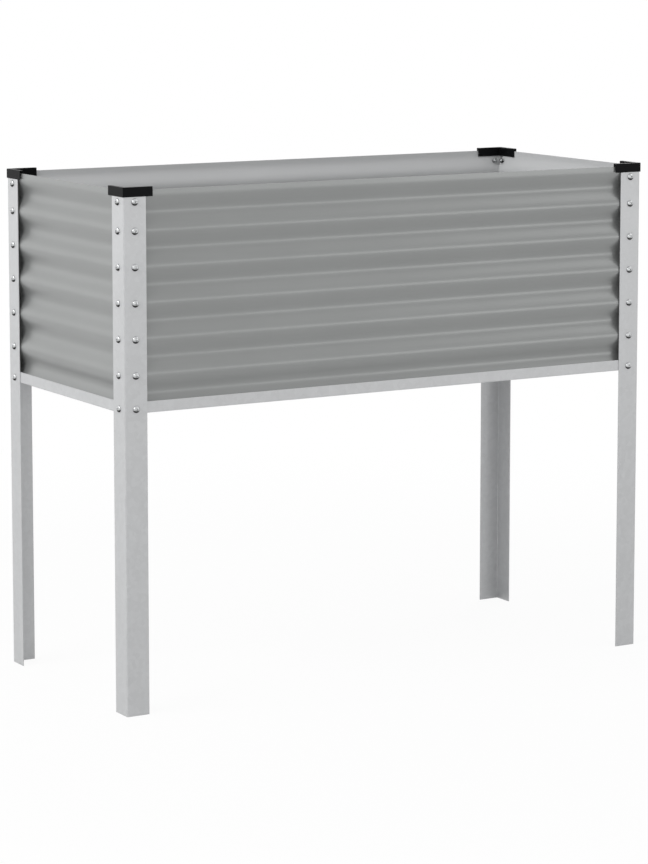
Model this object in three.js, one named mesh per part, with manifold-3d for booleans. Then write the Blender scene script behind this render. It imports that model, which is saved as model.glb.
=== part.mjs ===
// Raised garden bed: a tub of corrugated sheets held between four legs of angle
// section, with rails under the sheets, a floor in two pans and a plastic cap on
// each corner. Millimetres, +Z up, +X along the length. The origin is on the
// ground, under the middle of the bed.

import * as THREE from 'three';
import { mergeVertices } from 'three/addons/utils/BufferGeometryUtils.js';
import Module from 'manifold-3d';

const wasm = await Module();
wasm.setup();

// Driving dimensions

const bedLength = 1000; // along X, over the outer faces of the legs
const bedWidth = 436; // along Y, over the outer faces of the legs
const bedHeight = 852; // ground to the top of the caps

const legFlange = 40;
const legThickness = 1.2;
const legFold = 2.4; // outside radius of a leg's fold
const railFold = 1.6; // outside radius of a rail's fold
const foldSteps = 3;

const sheetThickness = 0.8;
const waveDepth = 10; // from the crests to the troughs of one face
const wavePitch = 57.6;
const facetsPerWave = 10;
const screwedCrests = 5;
const crestBelowRim = 65; // rim of a sheet to its highest screwed crest
const sheetBelowCrest = 2; // lowest crest, behind the rail, to the lower edge

const railThickness = 1;
const railHeight = 18.5;
const railScrewHeight = 7.5; // underside of a rail to its screws
const floorBearing = 16; // how far a shelf reaches in under the floor

const capHeight = 15.7;
const capPlate = 3.2;
const capArm = 52; // outer face of the leg to the end of an arm
const capOuterSkirt = 0.8;
const capInnerSkirt = 1.4;
const capRoom = 1; // between a sheet and the inner skirt
const capAboveRim = 5; // rim of a sheet to the top of the cap

const floorThickness = 0.8;
const floorLip = 12;
const floorJoint = 0.8; // gap between the two pans
const drainColumns = 4;
const drainRows = 3;
const drainRadius = 5;

const screwRadius = 2.5;
const headRadius = 5.8;
const headHeight = 3.6;
const headSteps = 3;
const screwSides = 10;
const nutAcrossFlats = 8;
const nutHeight = 4;
const threadBeyondNut = 0.8;
const topScrewBelowCap = 8;
const solidScrewRows = [1, 2, 4, 6, 7]; // counted from the top; rows 3 and 5 stay open holes

const seatGap = 0.1; // between faces that bear on each other
const looseGap = 0.3; // between edges that pass each other
const nutRoom = 1.4; // between the screws of the two flanges of a leg
const holeClearance = 0.4; // hole radius over screw radius
const holeSides = 8;
const cutterReach = 2; // how far a cutter runs past what it cuts

// Heights above the ground

const rimHeight = bedHeight - capAboveRim;
const firstCrest = rimHeight - crestBelowRim;
const topCrest = firstCrest + wavePitch;
const sheetBottom = firstCrest - screwedCrests * wavePitch - sheetBelowCrest;
const shelfTop = sheetBottom - looseGap;
const railBottom = shelfTop - railThickness;
const capBottom = bedHeight - capHeight;
const legTop = bedHeight - capPlate - seatGap;
const crestRows = Array.from({ length: screwedCrests }, (_, i) => firstCrest - i * wavePitch);
const railRow = railBottom + railScrewHeight;
const screwRows = [capBottom - topScrewBelowCap, ...crestRows, railRow];

// Depths, measured inwards from the outer face of a leg

const railDepth = legThickness + seatGap;
const sheetDepth = railDepth + railThickness + looseGap;
const troughDepth = sheetDepth + waveDepth + sheetThickness;
const capSlotDepth = sheetDepth + deepestRecess(capBottom, rimHeight) + sheetThickness + capRoom;
const screwLength = Math.max(...screwRows.map(nutDepth)) + nutHeight + threadBeyondNut + seatGap;
const floorDepth = Math.max(troughDepth, screwLength) + 2 * looseGap;
const railShelf = floorDepth + floorBearing - railDepth;

// Distances along an edge of the bed, from the outer face of the leg at its end

const nutRadius = nutAcrossFlats / Math.sqrt(3);
const screwFromCorner = screwLength + nutRadius + nutRoom;
const longSheetStart = sheetDepth;
const endSheetStart = troughDepth + looseGap;
const railStart = legFold + looseGap;

// Finishes

const galvanisedSteel = { color: 0xb9babb, roughness: 0.42, metalness: 0.85 };
const sheetSteel = { color: 0x8f9391, roughness: 0.4, metalness: 0.7 };
const floorSteel = { color: 0x9a9d9c, roughness: 0.5, metalness: 0.8 };
const zincPlate = { color: 0xc8c9c8, roughness: 0.3, metalness: 0.9 };
const blackPlastic = { color: 0x141516, roughness: 0.35, metalness: 0 };

// How far the corrugation lies behind its crests at a height. The crests are cut
// flat, so that one facet stands upright behind each screw. Above the top crest the
// sheet runs straight up to its rim.
function waveRecess(height) {
  const turn = (2 * Math.PI * (Math.min(height, topCrest) - firstCrest)) / wavePitch;
  const swing = Math.cos(turn) / Math.cos(Math.PI / facetsPerWave);
  return (waveDepth / 2) * (1 - Math.min(1, Math.max(-1, swing)));
}

function deepestRecess(from, to) {
  const samples = facetsPerWave * Math.ceil((to - from) / wavePitch) + 1;
  const heights = Array.from({ length: samples + 1 }, (_, i) => from + ((to - from) * i) / samples);
  return Math.max(...heights.map(waveRecess));
}

// Outer face of the leg to the face of a nut that clears the sheet behind it.
function nutDepth(row) {
  const halfNut = nutAcrossFlats / 2;
  return sheetDepth + sheetThickness + deepestRecess(row - halfNut, row + halfNut) + looseGap;
}

// Solids from geometries, and back

function solidOf(geometry) {
  geometry.deleteAttribute('normal');
  geometry.deleteAttribute('uv');
  const merged = mergeVertices(geometry);
  const vertProperties = new Float32Array(merged.attributes.position.array);
  const triVerts = new Uint32Array(merged.index.array);
  return new wasm.Manifold(new wasm.Mesh({ numProp: 3, vertProperties, triVerts }));
}

function geometryOf(solid) {
  const mesh = solid.getMesh();
  const geometry = new THREE.BufferGeometry();
  geometry.setAttribute('position', new THREE.BufferAttribute(mesh.vertProperties, 3));
  geometry.setIndex(new THREE.BufferAttribute(mesh.triVerts, 1));
  geometry.computeVertexNormals();
  return geometry;
}

function cut(solid, cutters) {
  return cutters.reduce((rest, cutter) => rest.subtract(cutter), solid);
}

function box(sizeX, sizeY, sizeZ) {
  return solidOf(new THREE.BoxGeometry(sizeX, sizeY, sizeZ).translate(0, 0, sizeZ / 2));
}

// An outline in X and Y, given as [x, y] points, raised along Z.
function upright(points, height) {
  const outline = new THREE.Shape(points.map(([x, y]) => new THREE.Vector2(x, y)));
  return solidOf(new THREE.ExtrudeGeometry(outline, { depth: height, bevelEnabled: false }));
}

// A section given as [depth, height] points, drawn out along X with its depth along Y.
function drawnOut(points, start, length) {
  const section = new THREE.Shape(points.map(([depth, height]) => new THREE.Vector2(depth, height)));
  const geometry = new THREE.ExtrudeGeometry(section, { depth: length, bevelEnabled: false });
  const toY = new THREE.Vector3(0, 1, 0);
  const toZ = new THREE.Vector3(0, 0, 1);
  const toX = new THREE.Vector3(1, 0, 0);
  geometry.applyMatrix4(new THREE.Matrix4().makeBasis(toY, toZ, toX));
  return solidOf(geometry.translate(start, 0, 0));
}

function arc(centre, radius, from, to) {
  return Array.from({ length: foldSteps + 1 }, (_, i) => {
    const angle = from + ((to - from) * i) / foldSteps;
    return [centre + radius * Math.cos(angle), centre + radius * Math.sin(angle)];
  });
}

// An L with its folded corner at the origin and one arm along each axis.
function angleSection(armX, armY, thickness, fold) {
  return [
    [armX, 0],
    [armX, thickness],
    ...arc(fold, fold - thickness, 1.5 * Math.PI, Math.PI),
    [thickness, armY],
    [0, armY],
    ...arc(fold, fold, Math.PI, 1.5 * Math.PI),
  ];
}

// Cutters for screw holes through a sheet that spans two depths.
function screwHoles(depthFrom, depthTo, places, rows) {
  const radius = screwRadius + holeClearance;
  const length = depthTo - depthFrom + 2 * cutterReach;
  const middle = (depthFrom + depthTo) / 2;
  return places.flatMap((place) =>
    rows.map((row) => {
      const hole = new THREE.CylinderGeometry(radius, radius, length, holeSides);
      return solidOf(hole.translate(place, middle, row));
    }),
  );
}

// Leg: its outer corner is at the origin, with one flange along +X and one along +Y.
function legSolid() {
  const bar = upright(angleSection(legFlange, legFlange, legThickness, legFold), legTop);
  const holes = screwHoles(0, legThickness, [screwFromCorner], screwRows);
  const turnedHoles = holes.map((hole) => hole.mirror([1, -1, 0]));
  return cut(bar, [...holes, ...turnedHoles]);
}

// Corrugated sheet

function waveHeights() {
  const facet = wavePitch / facetsPerWave;
  const first = Math.ceil((sheetBottom + looseGap - firstCrest) / facet - 0.5);
  const last = Math.floor((rimHeight - looseGap - firstCrest) / facet - 0.5);
  const edges = Array.from({ length: last - first + 1 }, (_, i) => firstCrest + (first + i + 0.5) * facet);
  return [sheetBottom, ...edges, rimHeight];
}

function sheetSolid(edgeLength, start) {
  const outer = waveHeights().map((height) => [sheetDepth + waveRecess(height), height]);
  const inner = outer.map(([depth, height]) => [depth + sheetThickness, height]);
  const sheet = drawnOut([...outer, ...inner.reverse()], start, edgeLength - 2 * start);
  const places = [screwFromCorner, edgeLength - screwFromCorner];
  return cut(sheet, screwHoles(sheetDepth, troughDepth, places, screwRows));
}

// Rail: an angle behind the legs with its shelf turned inwards and its ends mitred.
function railSolid(edgeLength) {
  const section = angleSection(railShelf, railHeight, railThickness, railFold);
  const placed = section.map(([depth, height]) => [railDepth + depth, railBottom + height]);
  const bar = drawnOut(placed, railStart, edgeLength - 2 * railStart);
  const reach = railDepth + railShelf + cutterReach;
  const halfJoint = looseGap / Math.SQRT2;
  const wedge = upright([[halfJoint, 0], [reach + halfJoint, reach], [0, reach]], bedHeight);
  const farWedge = wedge.mirror([1, 0, 0]).translate([edgeLength, 0, 0]);
  const places = [screwFromCorner, edgeLength - screwFromCorner];
  const holes = screwHoles(railDepth, railDepth + railThickness, places, [railRow]);
  return cut(bar, [wedge, farWedge, ...holes]);
}

// Floor pan: half of the floor, folded down all round so that it stands on the shelves.

const panLength = bedLength / 2 - floorDepth - floorJoint / 2;
const panWidth = bedWidth - 2 * floorDepth;

function floorPanSolid() {
  const hollowLength = panLength - 2 * floorThickness;
  const hollowWidth = panWidth - 2 * floorThickness;
  const hollow = box(hollowLength, hollowWidth, floorLip).translate([0, 0, -floorThickness]);
  const columns = Array.from({ length: drainColumns }, (_, i) => (i + 0.5) / drainColumns - 0.5);
  const rows = Array.from({ length: drainRows }, (_, i) => (i + 0.5) / drainRows - 0.5);
  const drains = columns.flatMap((column) =>
    rows.map((row) => {
      const drain = new THREE.CylinderGeometry(drainRadius, drainRadius, 2 * floorLip, holeSides);
      drain.rotateX(Math.PI / 2);
      return solidOf(drain.translate(column * panLength, row * panWidth, floorLip));
    }),
  );
  return cut(box(panLength, panWidth, floorLip), [hollow, ...drains]);
}

// Corner cap: an L-shaped channel, open below, over the top of a leg and the rims.

function cornerOutline(outerDepth, innerDepth, arm) {
  return [
    [outerDepth, outerDepth],
    [arm, outerDepth],
    [arm, innerDepth],
    [innerDepth, innerDepth],
    [innerDepth, arm],
    [outerDepth, arm],
  ];
}

function capSolid() {
  const outside = cornerOutline(-seatGap - capOuterSkirt, capSlotDepth + capInnerSkirt, capArm);
  const slot = cornerOutline(-seatGap, capSlotDepth, capArm + cutterReach);
  const block = upright(outside, capHeight).translate([0, 0, capBottom]);
  return block.subtract(upright(slot, capHeight).translate([0, 0, capBottom - capPlate]));
}

// Screw with its nut: the head bears on the origin and the shank points along +Y.
function screwSolid(row) {
  const dome = Array.from({ length: headSteps }, (_, i) => {
    const angle = (Math.PI / 2) * (i / headSteps);
    return new THREE.Vector2(headRadius * Math.cos(angle), -headHeight * Math.sin(angle));
  });
  const profile = [
    new THREE.Vector2(0, -headHeight),
    ...dome.reverse(),
    new THREE.Vector2(screwRadius, 0),
    new THREE.Vector2(screwRadius, screwLength),
    new THREE.Vector2(0, screwLength),
  ];
  const nut = new THREE.CylinderGeometry(nutRadius, nutRadius, nutHeight, 6);
  nut.rotateY(Math.PI / 6);
  nut.translate(0, nutDepth(row) + seatGap + nutHeight / 2, 0);
  return solidOf(new THREE.LatheGeometry(profile, screwSides)).add(solidOf(nut));
}

// Assembly. Each corner group carries a leg, its cap and screws, and the sheet and
// rail of the edge that starts there and runs along the group's own +X.

const bed = new THREE.Group();

function piece(name, solid, finish) {
  const mesh = new THREE.Mesh(geometryOf(solid), new THREE.MeshStandardMaterial(finish));
  mesh.name = name;
  return mesh;
}

function flangeScrews(cornerName, flangeName, alongX) {
  return solidScrewRows.map((rowNumber) => {
    const row = screwRows[rowNumber - 1];
    const screw = piece(`screw_${cornerName}_${flangeName}_${rowNumber}`, screwSolid(row), zincPlate);
    screw.position.set(screwFromCorner, -seatGap, row);
    if (!alongX) {
      screw.position.set(-seatGap, screwFromCorner, row);
      screw.rotation.z = -Math.PI / 2;
    }
    return screw;
  });
}

const corners = [
  { name: 'front_left', edge: 'front', x: -bedLength / 2, y: -bedWidth / 2 },
  { name: 'front_right', edge: 'right', x: bedLength / 2, y: -bedWidth / 2 },
  { name: 'back_right', edge: 'back', x: bedLength / 2, y: bedWidth / 2 },
  { name: 'back_left', edge: 'left', x: -bedLength / 2, y: bedWidth / 2 },
];

corners.forEach(({ name, edge, x, y }, quarterTurns) => {
  const startsLongEdge = quarterTurns % 2 === 0;
  const edgeLength = startsLongEdge ? bedLength : bedWidth;
  const sheetStart = startsLongEdge ? longSheetStart : endSheetStart;
  const corner = new THREE.Group();
  corner.position.set(x, y, 0);
  corner.rotation.z = (quarterTurns * Math.PI) / 2;
  corner.add(
    piece(`leg_${name}`, legSolid(), galvanisedSteel),
    piece(`cap_${name}`, capSolid(), blackPlastic),
    piece(`panel_${edge}`, sheetSolid(edgeLength, sheetStart), sheetSteel),
    piece(`rail_${edge}`, railSolid(edgeLength), galvanisedSteel),
    ...flangeScrews(name, startsLongEdge ? 'side' : 'end', true),
    ...flangeScrews(name, startsLongEdge ? 'end' : 'side', false),
  );
  bed.add(corner);
});

for (const [side, direction] of [['left', -1], ['right', 1]]) {
  const pan = piece(`floor_pan_${side}`, floorPanSolid(), floorSteel);
  pan.position.set((direction * (panLength + floorJoint)) / 2, 0, shelfTop + seatGap);
  bed.add(pan);
}

export default bed;
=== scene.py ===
import math
import random

import bmesh
import bpy
from mathutils import Matrix, Vector


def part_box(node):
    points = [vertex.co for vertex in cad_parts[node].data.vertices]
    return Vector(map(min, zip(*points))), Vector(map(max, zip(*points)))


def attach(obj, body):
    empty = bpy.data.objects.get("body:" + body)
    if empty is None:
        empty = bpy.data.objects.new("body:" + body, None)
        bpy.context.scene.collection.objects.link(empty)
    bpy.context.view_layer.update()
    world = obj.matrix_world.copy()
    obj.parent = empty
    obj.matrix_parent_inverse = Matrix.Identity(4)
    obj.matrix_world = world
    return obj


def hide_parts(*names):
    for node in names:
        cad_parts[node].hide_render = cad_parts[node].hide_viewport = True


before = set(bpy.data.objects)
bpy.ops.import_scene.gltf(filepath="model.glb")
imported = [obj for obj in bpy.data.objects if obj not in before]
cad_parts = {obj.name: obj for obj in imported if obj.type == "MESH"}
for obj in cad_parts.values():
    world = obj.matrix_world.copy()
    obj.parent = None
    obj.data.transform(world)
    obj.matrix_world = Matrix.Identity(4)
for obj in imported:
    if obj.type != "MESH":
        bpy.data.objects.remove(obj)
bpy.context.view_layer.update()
mm = 0.001
print("frame loaded")


class Value:  # a socket that can stand in a sum
    def __init__(self, finish, socket):
        self.finish = finish
        self.socket = socket

    def math(self, operation, first, second):
        return self.finish.node("ShaderNodeMath", {"operation": operation}, {0: first, 1: second})

    def __add__(self, other):
        return self.math("ADD", self, other)

    def __mul__(self, other):
        return self.math("MULTIPLY", self, other)

    __radd__ = __add__
    __rmul__ = __mul__

    def either(self, other):
        return self.math("MAXIMUM", self, other)


class Finish:  # the node tree of one material or of the world
    def __init__(self, owner):
        owner.use_nodes = True
        self.owner = owner
        self.tree = owner.node_tree
        self.tree.nodes.clear()

    def node(self, kind, settings=None, sockets=None, out=0):
        node = self.tree.nodes.new(kind)
        for key, value in (settings or {}).items():
            setattr(node, key, value)
        for key, value in (sockets or {}).items():
            if isinstance(value, Value):
                self.tree.links.new(value.socket, node.inputs[key])
            else:
                node.inputs[key].default_value = value
        return Value(self, node.outputs[out]) if len(node.outputs) else node

    def place(self):
        return self.node("ShaderNodeTexCoord", {}, {}, "Object")

    def stretch(self, place, scale):
        return self.node("ShaderNodeVectorMath", {"operation": "MULTIPLY"}, {0: place, 1: scale})

    def noise(self, place, size, detail=2, out=0):
        sockets = {"Vector": place, "Scale": 1 / size, "Detail": detail}
        return self.node("ShaderNodeTexNoise", {}, sockets, out)

    def mixColours(self, factor, first, second):
        sockets = {0: factor, 6: first, 7: second}
        return self.node("ShaderNodeMix", {"data_type": "RGBA"}, sockets, out=2)

    def mottled(self, look, tone):  # the colour, darker where the tone is 0 and lighter where it is 1
        half = look["contrast"] / 2
        return self.mixColours(tone, rgb(look["colour"], 1 - half), rgb(look["colour"], 1 + half))

    def rise(self, value, start, end, lowest=0):  # a smooth step up to 1 on the way from start to end
        sockets = {"Value": value, "From Min": start, "From Max": end, "To Min": lowest, "To Max": 1}
        return self.node("ShaderNodeMapRange", {"interpolation_type": "SMOOTHSTEP"}, sockets)

    def bump(self, height, depth):
        return self.node("ShaderNodeBump", {}, {"Height": height, "Distance": depth, "Strength": 1})

    def surface(self, shader):
        self.node("ShaderNodeOutputMaterial", {}, {"Surface": shader})
        return self.owner


def newFinish(name):
    return Finish(bpy.data.materials.new(name))


def rgb(colour, level=1):
    return (*(channel * level for channel in colour), 1)


# A level that patterns between 0 and 1 swing evenly up and down
def about(level, *swings):
    total = level - sum(swing for pattern, swing in swings) / 2
    for pattern, swing in swings:
        total = total + swing * pattern
    return total


# Galvanised steel: zinc crystals a few millimetres wide, with a fine grain over them
galvanised = {
    "colour": (0.50, 0.506, 0.513),
    "contrast": 0.21,
    "crystalSize": 0.007,
    "crystalBend": 0.006,
    "crystalShare": 0.33,
    "crystalRoughness": 0.1,
    "grainSize": 0.0011,
    "grainShare": 0.29,
    "grainRoughness": 0.06,
    "grainDepth": 0.00002,
    "cloudSize": 0.09,
    "cloudShare": 0.38,
    "metallic": 0.25,
    "roughness": 0.36,
}


def galvanisedFinish(name, look):
    f = newFinish(name)
    place = f.place()
    warp = f.noise(place, 3 * look["crystalSize"], 3, "Color")
    bend = (look["crystalBend"],) * 3
    bent = f.node("ShaderNodeVectorMath", {"operation": "MULTIPLY_ADD"}, {0: warp, 1: bend, 2: place})
    spacing = {"Vector": bent, "Scale": 1 / look["crystalSize"]}
    cell = f.node("ShaderNodeTexVoronoi", {}, spacing, "Color")
    crystal = f.node("ShaderNodeSeparateColor", {}, {0: cell})
    grain = f.noise(place, look["grainSize"], 3)
    cloud = f.noise(place, look["cloudSize"])
    tone = look["crystalShare"] * crystal + look["grainShare"] * grain + look["cloudShare"] * cloud
    swings = (crystal, look["crystalRoughness"]), (grain, look["grainRoughness"])
    shader = f.node("ShaderNodeBsdfPrincipled", {}, {
        "Base Color": f.mottled(look, tone),
        "Metallic": look["metallic"],
        "Roughness": about(look["roughness"], *swings),
        "Normal": f.bump(grain, look["grainDepth"]),
    })
    return f.surface(shader)


# Corrugated sheet: satin grey with the long faint streaks that the rolls leave
sheetSteel = {
    "colour": (0.268, 0.275, 0.2725),
    "contrast": 0.2,
    "cloudSize": 0.12,
    "cloudStretch": (0.5, 1, 1),
    "cloudShare": 0.6,
    "streakSize": 0.004,
    "streakStretch": (0.03, 1, 1),
    "streakShare": 0.25,
    "streakRoughness": 0.1,
    "grainSize": 0.0009,
    "grainStretch": (0.2, 1, 1),
    "grainShare": 0.15,
    "grainRoughness": 0.08,
    "grainDepth": 0.000012,
    "metallic": 0.42,
    "roughness": 0.32,
}

# The inner side has a matt pale coat, made paler still as painted light, standing in for light bounced
# around inside the tub
sheetInside = {**sheetSteel, "colour": (0.53, 0.536, 0.541), "metallic": 0, "roughness": 0.6}


def sheetFinish(name, look):
    f = newFinish(name)
    place = f.place()
    cloud = f.noise(f.stretch(place, look["cloudStretch"]), look["cloudSize"], 3)
    streak = f.noise(f.stretch(place, look["streakStretch"]), look["streakSize"], 3)
    grain = f.noise(f.stretch(place, look["grainStretch"]), look["grainSize"])
    tone = look["cloudShare"] * cloud + look["streakShare"] * streak + look["grainShare"] * grain
    swings = (streak, look["streakRoughness"]), (grain, look["grainRoughness"])
    shader = f.node("ShaderNodeBsdfPrincipled", {}, {
        "Base Color": f.mottled(look, tone),
        "Metallic": look["metallic"],
        "Roughness": about(look["roughness"], *swings),
        "Normal": f.bump(grain, look["grainDepth"]),
    })
    return f.surface(shader)


# Screws and nuts: bright zinc, with painted shade: near black on whatever faces the ground, standing
# in for the shadow and dark reflection under the heads
zinc = {
    "colour": (0.525, 0.535, 0.54),
    "contrast": 0.22,
    "grainSize": 0.0007,
    "grainDepth": 0.00001,
    "cloudSize": 0.004,
    "toneRoughness": 0.12,
    "paintedShadeColour": (0.03, 0.03, 0.03),
    "paintedShadeRoughness": 0.3,
    "paintedShadeFrom": -0.05,  # how far the surface has to face down for the painted shade to begin, and to be full
    "paintedShadeTo": -0.38,
    "metallic": 0.8,
    "roughness": 0.26,
}


def zincFinish(name, look):
    f = newFinish(name)
    place = f.place()
    grain = f.noise(place, look["grainSize"], 3)
    cloud = f.noise(place, look["cloudSize"])
    tone = 0.5 * grain + 0.5 * cloud
    facing = f.node("ShaderNodeNewGeometry", {}, {}, "Normal")
    upward = f.node("ShaderNodeSeparateXYZ", {}, {0: facing}, "Z")
    # painted shade: the downward-facing side turns near black and rougher, standing in for shadow and
    # dark reflection under the head
    paintedShade = f.rise(upward, look["paintedShadeFrom"], look["paintedShadeTo"])
    roughness = about(look["roughness"], (tone, look["toneRoughness"]))
    shader = f.node("ShaderNodeBsdfPrincipled", {}, {
        "Base Color": f.mixColours(paintedShade, f.mottled(look, tone), rgb(look["paintedShadeColour"])),
        "Metallic": look["metallic"],
        "Roughness": roughness + look["paintedShadeRoughness"] * paintedShade,
        "Normal": f.bump(grain, look["grainDepth"]),
    })
    return f.surface(shader)


# Corner caps: black moulded plastic with a fine spark-eroded grain
plastic = {
    "colour": (0.005, 0.0053, 0.0058),
    "contrast": 0.4,
    "cloudSize": 0.012,
    "cloudRoughness": 0.1,
    "grainSize": 0.0006,
    "grainRoughness": 0.06,
    "grainDepth": 0.00003,
    "roughness": 0.36,
    "specular": 0.045,
}


def plasticFinish(name, look):
    f = newFinish(name)
    place = f.place()
    grain = f.noise(place, look["grainSize"], 3)
    cloud = f.noise(place, look["cloudSize"])
    swings = (cloud, look["cloudRoughness"]), (grain, look["grainRoughness"])
    shader = f.node("ShaderNodeBsdfPrincipled", {}, {
        "Base Color": f.mottled(look, cloud),
        "Roughness": about(look["roughness"], *swings),
        "Specular IOR Level": look["specular"],
        "Normal": f.bump(grain, look["grainDepth"]),
    })
    return f.surface(shader)


trayZinc = {**galvanised, "colour": (0.58, 0.587, 0.592), "roughness": 0.5}

frameFinish = galvanisedFinish("galvanisedAngle", galvanised)
trayFinish = galvanisedFinish("galvanisedTray", trayZinc)
waveFinish = sheetFinish("satinGreySheet", sheetSteel)
# partly painted light: the inner side is lightened to stand in for bounce light inside the tub
insideFinish = sheetFinish("paleCoatAndPaintedBounceInside", sheetInside)
boltFinish = zincFinish("brightZinc", zinc)
capFinish = plasticFinish("blackMouldedPlastic", plastic)
print("finishes made")


# Sizes that several pieces share, in millimetres
bed = {
    "length": 1000,
    "width": 436,
    "height": 852,
    "seatGap": 0.1,  # between a screw's head and its leg
    "looseGap": 0.3,  # between a nut and the sheet
    "rimHeight": 847,
    "sheetBottom": 492,
    "firstCrest": 782,  # the wave that the others are counted from
    "topCrest": 839.6,
    "wavePitch": 57.6,
    "waveDepth": 10,
    "sheetDepth": 2.6,  # from the outside of the legs to the crests
    "sheetThickness": 0.8,
    "screwRows": (828.3, 782, 724.4, 666.8, 609.2, 551.6, 498.2),
    "screwFromCorner": 20.14,
    "screwRadius": 2.5,
    "holeRadius": 2.9,
}

# Corners in turn, anticlockwise from above, and the edge that each one starts
cornerNames = ("front_left", "front_right", "back_right", "back_left")
edgeNames = ("front", "right", "back", "left")
cornerSides = ((-1, -1), (1, -1), (1, 1), (-1, 1))


# Pieces are made with a corner of the bed at the origin, their edge along +X and the tub towards +Y
def cornerPlace(turns):
    sideX, sideY = cornerSides[turns]
    at = Vector((sideX * bed["length"], sideY * bed["width"], 0)) * mm / 2
    return Matrix.Translation(at) @ Matrix.Rotation(turns * math.pi / 2, 4, "Z")


def shifted(x, y, z):
    return Matrix.Translation(Vector((x, y, z)) * mm)


def turned(degrees):
    return Matrix.Rotation(math.radians(degrees), 4, "Y")


def meshOf(name, points, faces):
    mesh = bpy.data.meshes.new(name)
    mesh.from_pydata([Vector(p) * mm for p in points], [], faces)
    shell = bmesh.new()
    shell.from_mesh(mesh)
    bmesh.ops.recalc_face_normals(shell, faces=shell.faces)
    shell.to_mesh(mesh)
    shell.free()
    return mesh


# One mesh from stacks of rings of points, each stack closed at both ends
def stackedMesh(name, *stacks):
    points, faces = [], []
    for rings in stacks:
        sides, first = len(rings[0]), len(points)
        last = first + (len(rings) - 1) * sides
        faces += [tuple(range(first, first + sides))[::-1], tuple(range(last, last + sides))]
        for low in range(first, last, sides):
            for i in range(sides):
                j = (i + 1) % sides
                faces.append((low + i, low + j, low + sides + j, low + sides + i))
        points += [point for ring in rings for point in ring]
    return meshOf(name, points, faces)


def newPiece(name, mesh):
    piece = bpy.data.objects.new(name, mesh)
    bpy.context.scene.collection.objects.link(piece)
    return piece


def takeMesh(piece):  # keeps the mesh and drops the piece it was worked on
    mesh = piece.data
    bpy.data.objects.remove(piece)
    return mesh


def finished(mesh, *finishes):
    for finish in finishes:
        mesh.materials.append(finish)
    return mesh


def applyModifiers(piece):
    bpy.context.view_layer.update()
    graph = bpy.context.evaluated_depsgraph_get()
    piece.data = bpy.data.meshes.new_from_object(piece.evaluated_get(graph))
    piece.modifiers.clear()


def cut(piece, cutter, operation="DIFFERENCE"):
    boolean = piece.modifiers.new("cut", "BOOLEAN")
    boolean.operation, boolean.object, boolean.solver = operation, cutter, "EXACT"
    applyModifiers(piece)
    bpy.data.objects.remove(cutter)


def softenEdges(piece, width, segments=2, angle=50):
    bevel = piece.modifiers.new("edges", "BEVEL")
    bevel.width, bevel.segments, bevel.angle_limit = width * mm, segments, math.radians(angle)
    bevel.limit_method, bevel.use_clamp_overlap = "ANGLE", True
    applyModifiers(piece)


def smoothFaces(piece, angle=35, flatWeight=90):
    piece.data.polygons.foreach_set("use_smooth", [True] * len(piece.data.polygons))
    piece.data.set_sharp_from_angle(angle=math.radians(angle))
    weigh = piece.modifiers.new("flat faces lead", "WEIGHTED_NORMAL")
    weigh.keep_sharp, weigh.weight = True, flatWeight
    applyModifiers(piece)


def setOnBed(piece, place, slot, *nodes):
    piece.matrix_world = place
    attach(piece, "root")
    if nodes:
        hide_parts(*nodes)


def arc(centreX, centreY, radius, start, end, steps):
    turns = [math.radians(start + (end - start) * i / steps) for i in range(steps + 1)]
    return [(centreX + radius * math.cos(t), centreY + radius * math.sin(t)) for t in turns]


def circle(centreX, centreY, radius, sides):
    return arc(centreX, centreY, radius, 0, 360 * (sides - 1) / sides, sides - 1)


# A ring round the Y axis, whose radius may differ from point to point
def ringAt(radii, y):
    return [(radius * x, y, radius * z) for radius, (x, z) in zip(radii, circle(0, 0, 1, len(radii)))]


def turnedMesh(name, profile, sides):
    return stackedMesh(name, [ringAt([radius] * sides, y) for radius, y in profile])


# An L with its folded corner at the origin and an arm along each axis
def angleOutline(armX, armY, thickness, fold, steps):
    inner = arc(fold, fold, fold - thickness, 270, 180, steps)
    outer = arc(fold, fold, fold, 180, 270, steps)
    return [(armX, 0), (armX, thickness), *inner, (thickness, armY), (0, armY), *outer]


def raisedMesh(name, outline, low, high):
    return stackedMesh(name, [[(x, y, z) for x, y in outline] for z in (low, high)])


swapXY = Matrix(((0, 1, 0, 0), (1, 0, 0, 0), (0, 0, 1, 0), (0, 0, 0, 1)))
swapYZ = Matrix(((1, 0, 0, 0), (0, 0, 1, 0), (0, 1, 0, 0), (0, 0, 0, 1)))


# Round cutters along Y at places in X and Z, or with two axes swapped
def holeCutter(places, depths, radius, sides=24, swap=None):
    stacks = []
    for x, z in places:
        ring = circle(x, z, radius, sides)
        stacks.append([[(a, y, b) for a, b in ring] for y in depths])
    mesh = stackedMesh("holeCutter", *stacks)
    if swap:
        mesh.transform(swap)
        mesh.flip_normals()
    return newPiece("holeCutter", mesh)


# Where screws pass near both ends of an edge
def endHoles(edgeLength, rows):
    near = bed["screwFromCorner"]
    return [(x, row) for x in (near, edgeLength - near) for row in rows]


# Legs
leg = {
    "flange": 40,
    "thickness": 1.2,
    "fold": 2.4,  # outside radius
    "foldSteps": 10,
    "top": 848.7,
    "edge": 0.15,
    "punch": (-2, 4),
}


def legMesh():
    flange, fold, steps = leg["flange"], leg["fold"], leg["foldSteps"]
    outline = angleOutline(flange, flange, leg["thickness"], fold, steps)
    piece = newPiece("leg", raisedMesh("legAngle", outline, 0, leg["top"]))
    softenEdges(piece, leg["edge"])
    places = [(bed["screwFromCorner"], row) for row in bed["screwRows"]]
    cut(piece, holeCutter(places, leg["punch"], bed["holeRadius"]))
    cut(piece, holeCutter(places, leg["punch"], bed["holeRadius"], swap=swapXY))
    smoothFaces(piece)
    return takeMesh(piece)


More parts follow.
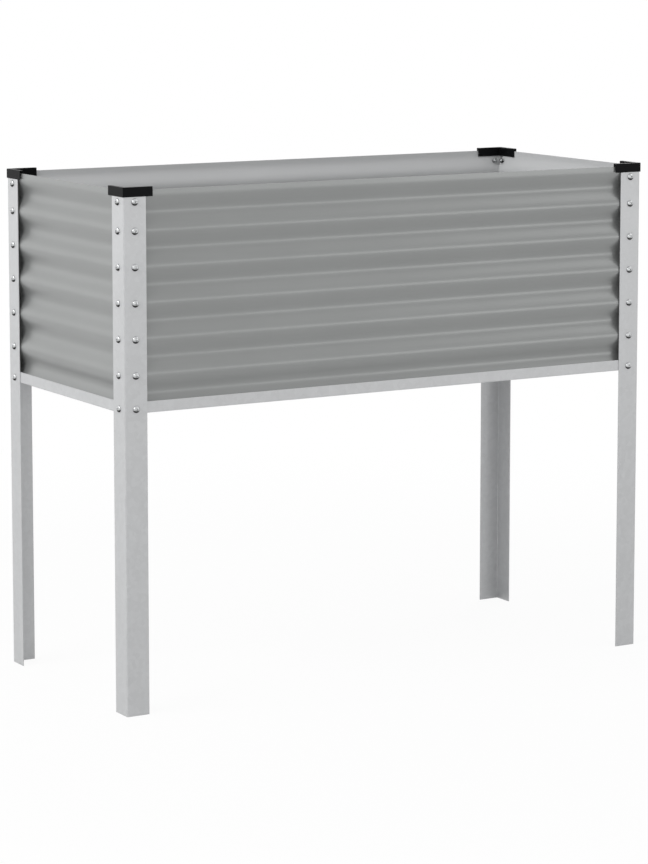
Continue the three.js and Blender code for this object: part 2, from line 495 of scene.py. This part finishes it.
legShape = finished(legMesh(), frameFinish)
for turns, corner in enumerate(cornerNames):
    piece = newPiece(f"angleLeg_{corner}", legShape)
    setOnBed(piece, cornerPlace(turns), "frame_steel", f"leg_{corner}")
print("legs folded and punched")


# Corrugated sheets
sheet = {
    "stepsPerWave": 24,
    "leastStep": 0.5,  # from the sheet's ends to the nearest row of points
    "columnWidth": 20,
    "edge": 0.12,
    "longStart": 2.6,
    "endStart": 13.7,
    "punch": (0, 18),
}


def waveTurn(height):  # above the top crest the sheet runs straight up to the rim
    return 2 * math.pi * (min(height, bed["topCrest"]) - bed["firstCrest"]) / bed["wavePitch"]


def waveRecess(height):
    return bed["waveDepth"] / 2 * (1 - math.cos(waveTurn(height)))


def waveSlope(height):
    return bed["waveDepth"] * math.pi / bed["wavePitch"] * math.sin(waveTurn(height))


def sheetMesh(edgeLength, start):
    step = bed["wavePitch"] / sheet["stepsPerWave"]
    first = math.ceil((bed["sheetBottom"] + sheet["leastStep"] - bed["firstCrest"]) / step)
    last = math.floor((bed["rimHeight"] - sheet["leastStep"] - bed["firstCrest"]) / step)
    between = [bed["firstCrest"] + i * step for i in range(first, last + 1)]
    heights = [bed["sheetBottom"], *between, bed["rimHeight"]]
    columns = round((edgeLength - 2 * start) / sheet["columnWidth"])
    places = [start + (edgeLength - 2 * start) * i / columns for i in range(columns + 1)]
    outer, inner = [], []
    for z in heights:
        slope = waveSlope(z)
        size = bed["sheetThickness"] / math.hypot(1, slope)
        depth = bed["sheetDepth"] + waveRecess(z)
        outer += [(x, depth, z) for x in places]
        inner += [(x, depth + size, z - size * slope) for x in places]
    wide, high, count = len(places), len(heights), len(outer)
    faces = []
    for j in range(high - 1):
        for i in range(wide - 1):
            a, b = j * wide + i, j * wide + i + 1
            faces.append((a, b, b + wide, a + wide))
            faces.append((count + a, count + a + wide, count + b + wide, count + b))
        for i in (0, wide - 1):
            a = j * wide + i
            faces.append((a, a + wide, count + a + wide, count + a))
    for j in (0, high - 1):
        for i in range(wide - 1):
            a = j * wide + i
            faces.append((a, a + 1, count + a + 1, count + a))
    piece = newPiece("sheet", meshOf("waveSheet", outer + inner, faces))
    softenEdges(piece, sheet["edge"], 1)
    places = endHoles(edgeLength, bed["screwRows"])
    cut(piece, holeCutter(places, sheet["punch"], bed["holeRadius"]))
    smoothFaces(piece)
    for face in piece.data.polygons:
        face.material_index = int(face.normal.y > 0.5)  # the second finish is for the inner side
    return takeMesh(piece)


longSheet = finished(sheetMesh(bed["length"], sheet["longStart"]), waveFinish, insideFinish)
endSheet = finished(sheetMesh(bed["width"], sheet["endStart"]), waveFinish, insideFinish)
for turns, edge in enumerate(edgeNames):
    piece = newPiece(f"waveSheet_{edge}", (longSheet, endSheet)[turns % 2])
    setOnBed(piece, cornerPlace(turns), "panel_steel", f"panel_{edge}")
print("sheets corrugated")


# Rails under the sheets
rail = {
    "depth": 1.3,
    "bottom": 490.7,
    "height": 18.5,
    "thickness": 1,
    "fold": 1.6,  # outside radius
    "foldSteps": 8,
    "shelf": 29.4,
    "start": 2.7,
    "mitreGap": 0.212,
    "edge": 0.15,
    "punch": (0, 5),
}


def railMesh(edgeLength):
    fold, steps = rail["fold"], rail["foldSteps"]
    near, far = [], []
    for inset, rise in angleOutline(rail["shelf"], rail["height"], rail["thickness"], fold, steps):
        y, z = rail["depth"] + inset, rail["bottom"] + rise
        end = max(rail["start"], y + rail["mitreGap"])
        near.append((end, y, z))
        far.append((edgeLength - end, y, z))
    piece = newPiece("rail", stackedMesh("frameRail", [near, far]))
    softenEdges(piece, rail["edge"])
    places = endHoles(edgeLength, bed["screwRows"][-1:])
    cut(piece, holeCutter(places, rail["punch"], bed["holeRadius"]))
    smoothFaces(piece)
    return takeMesh(piece)


longRail = finished(railMesh(bed["length"]), frameFinish)
endRail = finished(railMesh(bed["width"]), frameFinish)
for turns, edge in enumerate(edgeNames):
    piece = newPiece(f"frameRail_{edge}", (longRail, endRail)[turns % 2])
    setOnBed(piece, cornerPlace(turns), "frame_steel", f"rail_{edge}")
print("rails mitred")


# Floor trays: folded down on all four sides, with an open notch at each corner
tray = {
    "thickness": 0.8,
    "fold": 1.6,  # outside radius
    "foldSteps": 5,
    "lip": 12,
    "notch": 1.2,
    "drainRadius": 5,
    "drainSides": 32,
    "drainColumns": 4,
    "drainRows": 3,
    "punch": (-3, 3),
}


def trayMesh(sizeX, sizeY):
    fold = tray["fold"]
    # Distance in from the edge and height under the top, from the plate over the fold down the lip
    run = [*arc(fold, -fold, fold, 90, 180, tray["foldSteps"]), (0, -tray["lip"])]
    points, faces = [], []

    def strip(halfLength, reach, along, out):
        start = len(points)
        for inset, z in run:
            for end in (-1, 1):
                place = Vector(along) * end * halfLength + Vector(out) * (reach - inset)
                points.append((place.x, place.y, z))
        for a in range(start, len(points) - 2, 2):
            faces.append((a, a + 1, a + 3, a + 2))
        return start

    halfX, halfY = sizeX / 2, sizeY / 2
    inX, inY = halfX - fold - tray["notch"], halfY - fold - tray["notch"]
    south = strip(inX, halfY, (1, 0), (0, -1))
    north = strip(inX, halfY, (-1, 0), (0, 1))
    east = strip(inY, halfX, (0, 1), (1, 0))
    west = strip(inY, halfX, (0, -1), (-1, 0))
    inner = len(points)
    points += [(sideX * inX, sideY * inY, 0) for sideX, sideY in cornerSides]
    faces.append((south, south + 1, inner + 1, east, east + 1, inner + 2,
                  north, north + 1, inner + 3, west, west + 1, inner))
    piece = newPiece("tray", meshOf("floorTray", points, faces))
    thick = piece.modifiers.new("sheet", "SOLIDIFY")
    thick.thickness, thick.offset, thick.use_even_offset = tray["thickness"] * mm, -1, True
    applyModifiers(piece)
    drains = []
    for i in range(tray["drainColumns"]):
        for j in range(tray["drainRows"]):
            x = ((i + 0.5) / tray["drainColumns"] - 0.5) * sizeX
            drains.append((x, ((j + 0.5) / tray["drainRows"] - 0.5) * sizeY))
    cut(piece, holeCutter(drains, tray["punch"], tray["drainRadius"], tray["drainSides"], swapYZ))
    smoothFaces(piece)
    return takeMesh(piece)


for side in ("left", "right"):
    low, high = (Vector(end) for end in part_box(f"floor_pan_{side}"))
    size, middle = (high - low) / mm, (low + high) / 2
    piece = newPiece(f"floorTray_{side}", finished(trayMesh(size.x, size.y), trayFinish))
    place = Matrix.Translation((middle.x, middle.y, high.z))
    setOnBed(piece, place, "floor_steel", f"floor_pan_{side}")
print("floor trays folded")


# Corner caps
cap = {
    "bottom": 836.3,
    "plate": 3.2,
    "arm": 52,
    "outerDepth": -0.9,
    "innerDepth": 5.88,
    "slotFrom": -0.1,
    "slotTo": 4.48,
    "slotPast": 3,  # how far the cutter for the slot runs out of the cap
    "round": 0.55,
    "roundSteps": 4,
}


def cornerOutline(outer, inner, arm):
    return [(outer, outer), (arm, outer), (arm, inner), (inner, inner), (inner, arm), (outer, arm)]


def capMesh():
    past, plate = cap["slotPast"], bed["height"] - cap["plate"]
    block = cornerOutline(cap["outerDepth"], cap["innerDepth"], cap["arm"])
    slot = cornerOutline(cap["slotFrom"], cap["slotTo"], cap["arm"] + past)
    piece = newPiece("cap", raisedMesh("cornerCap", block, cap["bottom"], bed["height"]))
    softenEdges(piece, cap["round"], cap["roundSteps"])
    cut(piece, newPiece("slot", raisedMesh("slot", slot, cap["bottom"] - past, plate)))
    smoothFaces(piece)
    return takeMesh(piece)


capShape = finished(capMesh(), capFinish)
for turns, corner in enumerate(cornerNames):
    piece = newPiece(f"cornerCap_{corner}", capShape)
    setOnBed(piece, cornerPlace(turns), "cap_plastic", f"cap_{corner}")
print("caps moulded")


# Screws: a domed head with a cross recess, and a thread on the shank
screw = {
    "headRadius": 5.8,
    "headHeight": 3.6,
    "crownRadius": 0.001,  # the ring at the top of the dome
    "domeSteps": 9,
    "rimHeight": 0.6,
    "rimChamfer": 0.12,
    "sides": 36,
    "length": 14.12,
    "plainLength": 1.2,
    "threadPitch": 0.8,
    "threadDepth": 0.42,
    "threadSteps": 4,  # rings for each turn of the thread
    "tipLength": 0.7,
    "tipChamfer": 0.1,
    "recessAbove": 0.5,
    "recessDepth": 2.1,
    "recessSpan": 2.7,
    "recessWidth": 0.75,
    "recessMouth": 1.15,  # size of the cross above the head and at its foot
    "recessFoot": 0.45,
    "smoothAngle": 40,
}


def screwRings():
    sides, radius, shank = screw["sides"], screw["headRadius"], bed["screwRadius"]
    rim, chamfer = screw["rimHeight"], screw["rimChamfer"]
    dome = screw["headHeight"] - rim
    profile = [(screw["crownRadius"], -screw["headHeight"])]
    for i in range(1, screw["domeSteps"] + 1):
        t = math.pi / 2 * (1 - i / screw["domeSteps"])
        profile.append((radius * math.cos(t), -rim - dome * math.sin(t)))
    profile += [(radius, -chamfer), (radius - chamfer, 0), (shank, 0), (shank, screw["plainLength"])]
    rings = [ringAt([size] * sides, y) for size, y in profile]
    y = screw["plainLength"]
    while y < screw["length"] - screw["tipLength"]:
        y += screw["threadPitch"] / screw["threadSteps"]
        phases = [(y / screw["threadPitch"] + i / sides) % 1 for i in range(sides)]
        radii = [shank - screw["threadDepth"] * (1 - abs(2 * phase - 1)) for phase in phases]
        rings.append(ringAt(radii, y))
    tip = shank - screw["threadDepth"] - screw["tipChamfer"]
    rings.append(ringAt([tip] * sides, screw["length"]))
    return rings


def crossRings():
    span, half = screw["recessSpan"], screw["recessWidth"] / 2
    cross = [(half, half), (half, span), (-half, span), (-half, half), (-span, half), (-span, -half),
             (-half, -half), (-half, -span), (half, -span), (half, -half), (span, -half), (span, half)]
    mouth = (-screw["headHeight"] - screw["recessAbove"], screw["recessMouth"])
    foot = (-screw["headHeight"] + screw["recessDepth"], screw["recessFoot"])
    return [[(x * scale, y, z * scale) for x, z in cross] for y, scale in (mouth, foot)]


def screwMesh():
    piece = newPiece("screw", stackedMesh("panHeadScrew", screwRings()))
    cut(piece, newPiece("recess", stackedMesh("recess", crossRings())))
    smoothFaces(piece, screw["smoothAngle"])
    return takeMesh(piece)


# Nuts: a hexagon with its corners turned down, and a chamfered bore
nut = {
    "acrossFlats": 8,
    "height": 4,
    "faceRadius": 3.75,
    "facePast": 0.001,
    "chamfer": 0.5,
    "turnedPast": 0.1,
    "turnedSides": 48,
    "bore": 2.56,
    "boreChamfer": 0.5,
    "boreFlare": 0.6,
    "borePast": 0.1,
    "boreSides": 32,
    "smoothAngle": 25,
    "mostTurn": 6,
    "depthSteps": 8,
}


# Turned alike at both ends of the nut, from one radius to another
def nutCutter(endRadius, endAt, radius, radiusAt, sides):
    lower = [(endRadius, endAt), (radius, radiusAt)]
    upper = [(size, nut["height"] - at) for size, at in reversed(lower)]
    return newPiece("nutCutter", turnedMesh("nutCutter", lower + upper, sides))


def nutMesh():
    corner = nut["acrossFlats"] / math.sqrt(3)
    wide, flared = corner + nut["turnedPast"], nut["bore"] + nut["boreFlare"]
    outside = nutCutter(nut["faceRadius"], -nut["facePast"], wide, nut["chamfer"], nut["turnedSides"])
    bore = nutCutter(flared, -nut["borePast"], nut["bore"], nut["boreChamfer"], nut["boreSides"])
    piece = newPiece("nut", turnedMesh("hexNut", [(corner, 0), (corner, nut["height"])], 6))
    cut(piece, outside, "INTERSECT")
    cut(piece, bore)
    smoothFaces(piece, nut["smoothAngle"])
    return takeMesh(piece)


def nutDepth(row):  # clear of the deepest part of the wave behind the nut
    half, steps = nut["acrossFlats"] / 2, nut["depthSteps"]
    deepest = max(waveRecess(row + half * i / steps) for i in range(-steps, steps + 1))
    return bed["sheetDepth"] + bed["sheetThickness"] + deepest + bed["looseGap"]


screwShape = finished(screwMesh(), boltFinish)
nutShape = finished(nutMesh(), boltFinish)
alongEdge = Matrix.Identity(4)
alongOtherEdge = Matrix(((0, 1, 0, 0), (1, 0, 0, 0), (0, 0, -1, 0), (0, 0, 0, 1)))
spin = random.Random(7)
for turns, corner in enumerate(cornerNames):
    flanges = ("side", "end") if turns % 2 == 0 else ("end", "side")
    for flange, aim in zip(flanges, (alongEdge, alongOtherEdge)):
        for number, row in enumerate(bed["screwRows"], 1):
            name = f"{corner}_{flange}_{number}"
            held = [f"screw_{name}"] if f"screw_{name}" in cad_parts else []
            across = aim @ shifted(bed["screwFromCorner"], 0, 0)
            spot = cornerPlace(turns) @ shifted(0, 0, row) @ across
            screwAt = spot @ shifted(0, -bed["seatGap"], 0) @ turned(spin.uniform(0, 180))
            setOnBed(newPiece(f"panScrew_{name}", screwShape), screwAt, "screw_zinc", *held)
            nutTurn = spin.uniform(-nut["mostTurn"], nut["mostTurn"])
            nutAt = spot @ shifted(0, nutDepth(row), 0) @ turned(nutTurn)
            setOnBed(newPiece(f"hexNut_{name}", nutShape), nutAt, "screw_zinc", *held)
print("screws and nuts set")


# Floor and backdrop: white to the camera and in reflections, a pale diffuse floor to everything else
studio = {
    "floorHalf": 20000,
    "floorDrop": 0.05,
    "floorColour": (0.85, 0.85, 0.85),
    "floorSeenWhite": 0.93,  # near the bed, where the rest is its shadow
    "shadeFrom": 0.9,  # metres from the middle of the bed, from where the floor turns white
    "shadeTo": 2.2,
    "white": (1, 1, 1, 1),
    "worldLight": 0.54,
    "lamps": {
        # name: place, aimed at, size in X and Y, watts
        "frontBand": ((0.9, -3.0, 0.6), (0, 0, 0.7), (3.6, 0.6), 6.5),
        "frontLeft": ((-2.4, -2.5, 1.6), (0, 0, 0.6), (2.6, 1.2), 12),
        "frontRight": ((2.0, -2.65, 0.6), (0.35, -0.2, 0.6), (0.6, 1.4), 2),
        "leftSide": ((-3.4, -0.4, 3.0), (0, -0.2, 0.6), (2.6, 1.6), 81),
        "rightHigh": ((2.7, -1.4, 2.7), (0, 0, 0.6), (1.4, 1.4), 9),
        "rightSide": ((3.6, 0.6, 1.9), (0, 0, 0.6), (3.0, 1.6), 8),
        "backLeft": ((-1.9, 3.0, 0.9), (0, 0, 0.6), (2.2, 1.4), 3),
        "backRight": ((2.56, 2.56, 2.29), (0, 0, 0.6), (2.6, 1.6), 30),
    },
}


def seenOrMirrored(f):
    camera = f.node("ShaderNodeLightPath", {}, {}, "Is Camera Ray")
    glossy = f.node("ShaderNodeLightPath", {}, {}, "Is Glossy Ray")
    through = f.node("ShaderNodeLightPath", {}, {}, "Is Transmission Ray")
    return camera.either(glossy).either(through)


def floorFinish():
    f = newFinish("studioFloor")
    pale = f.node("ShaderNodeBsdfDiffuse", {}, {"Color": rgb(studio["floorColour"])})
    white = f.node("ShaderNodeEmission", {}, {"Color": studio["white"], "Strength": 1})
    away = f.node("ShaderNodeVectorMath", {"operation": "LENGTH"}, {0: f.place()}, "Value")
    whiter = f.rise(away, studio["shadeFrom"], studio["shadeTo"], studio["floorSeenWhite"])
    seen = seenOrMirrored(f) * whiter
    return f.surface(f.node("ShaderNodeMixShader", {}, {0: seen, 1: pale, 2: white}))


half = studio["floorHalf"]
floorCorners = [(x * half, y * half, -studio["floorDrop"]) for x, y in cornerSides]
floorMesh = finished(meshOf("studioFloor", floorCorners, [(0, 1, 2, 3)]), floorFinish())
ground = newPiece("studioFloor", floorMesh)

world = Finish(bpy.data.worlds.new("studio"))
bpy.context.scene.world = world.owner
white, light = studio["white"], studio["worldLight"]
lighting = world.node("ShaderNodeBackground", {}, {"Color": white, "Strength": light})
backdrop = world.node("ShaderNodeBackground", {}, {"Color": white, "Strength": 1})
mixed = world.node("ShaderNodeMixShader", {}, {0: seenOrMirrored(world), 1: lighting, 2: backdrop})
world.node("ShaderNodeOutputWorld", {}, {"Surface": mixed})

for name, (place, target, (sizeX, sizeY), watts) in studio["lamps"].items():
    lamp = bpy.data.lights.new(name, "AREA")
    lamp.shape, lamp.size, lamp.size_y, lamp.energy = "RECTANGLE", sizeX, sizeY, watts
    holder = bpy.data.objects.new(name, lamp)
    holder.location = place
    holder.rotation_euler = (Vector(place) - Vector(target)).to_track_quat("Z", "Y").to_euler()
    holder.visible_camera = False
    bpy.context.scene.collection.objects.link(holder)
print("studio lit")


# Camera at the photograph's viewing angle
view = {
    "place": (-2.6488, -4.5125, 1.2642),
    "yaw": 30.347,
    "pitch": 7.063,
    "lens": 127.62,
    "sensor": 36,
    "shift": -0.15,
    "nearest": 0.1,
    "farthest": 100,
}

camera = bpy.data.cameras.new("viewpoint")
camera.lens, camera.sensor_width, camera.shift_y = view["lens"], view["sensor"], view["shift"]
camera.clip_start, camera.clip_end = view["nearest"], view["farthest"]
viewpoint = bpy.data.objects.new("viewpoint", camera)
viewpoint.location = view["place"]
viewpoint.rotation_euler = (math.radians(90 - view["pitch"]), 0, math.radians(-view["yaw"]))
bpy.context.scene.collection.objects.link(viewpoint)
bpy.context.scene.camera = viewpoint
bpy.context.scene.view_settings.view_transform = "Standard"
print("camera set")
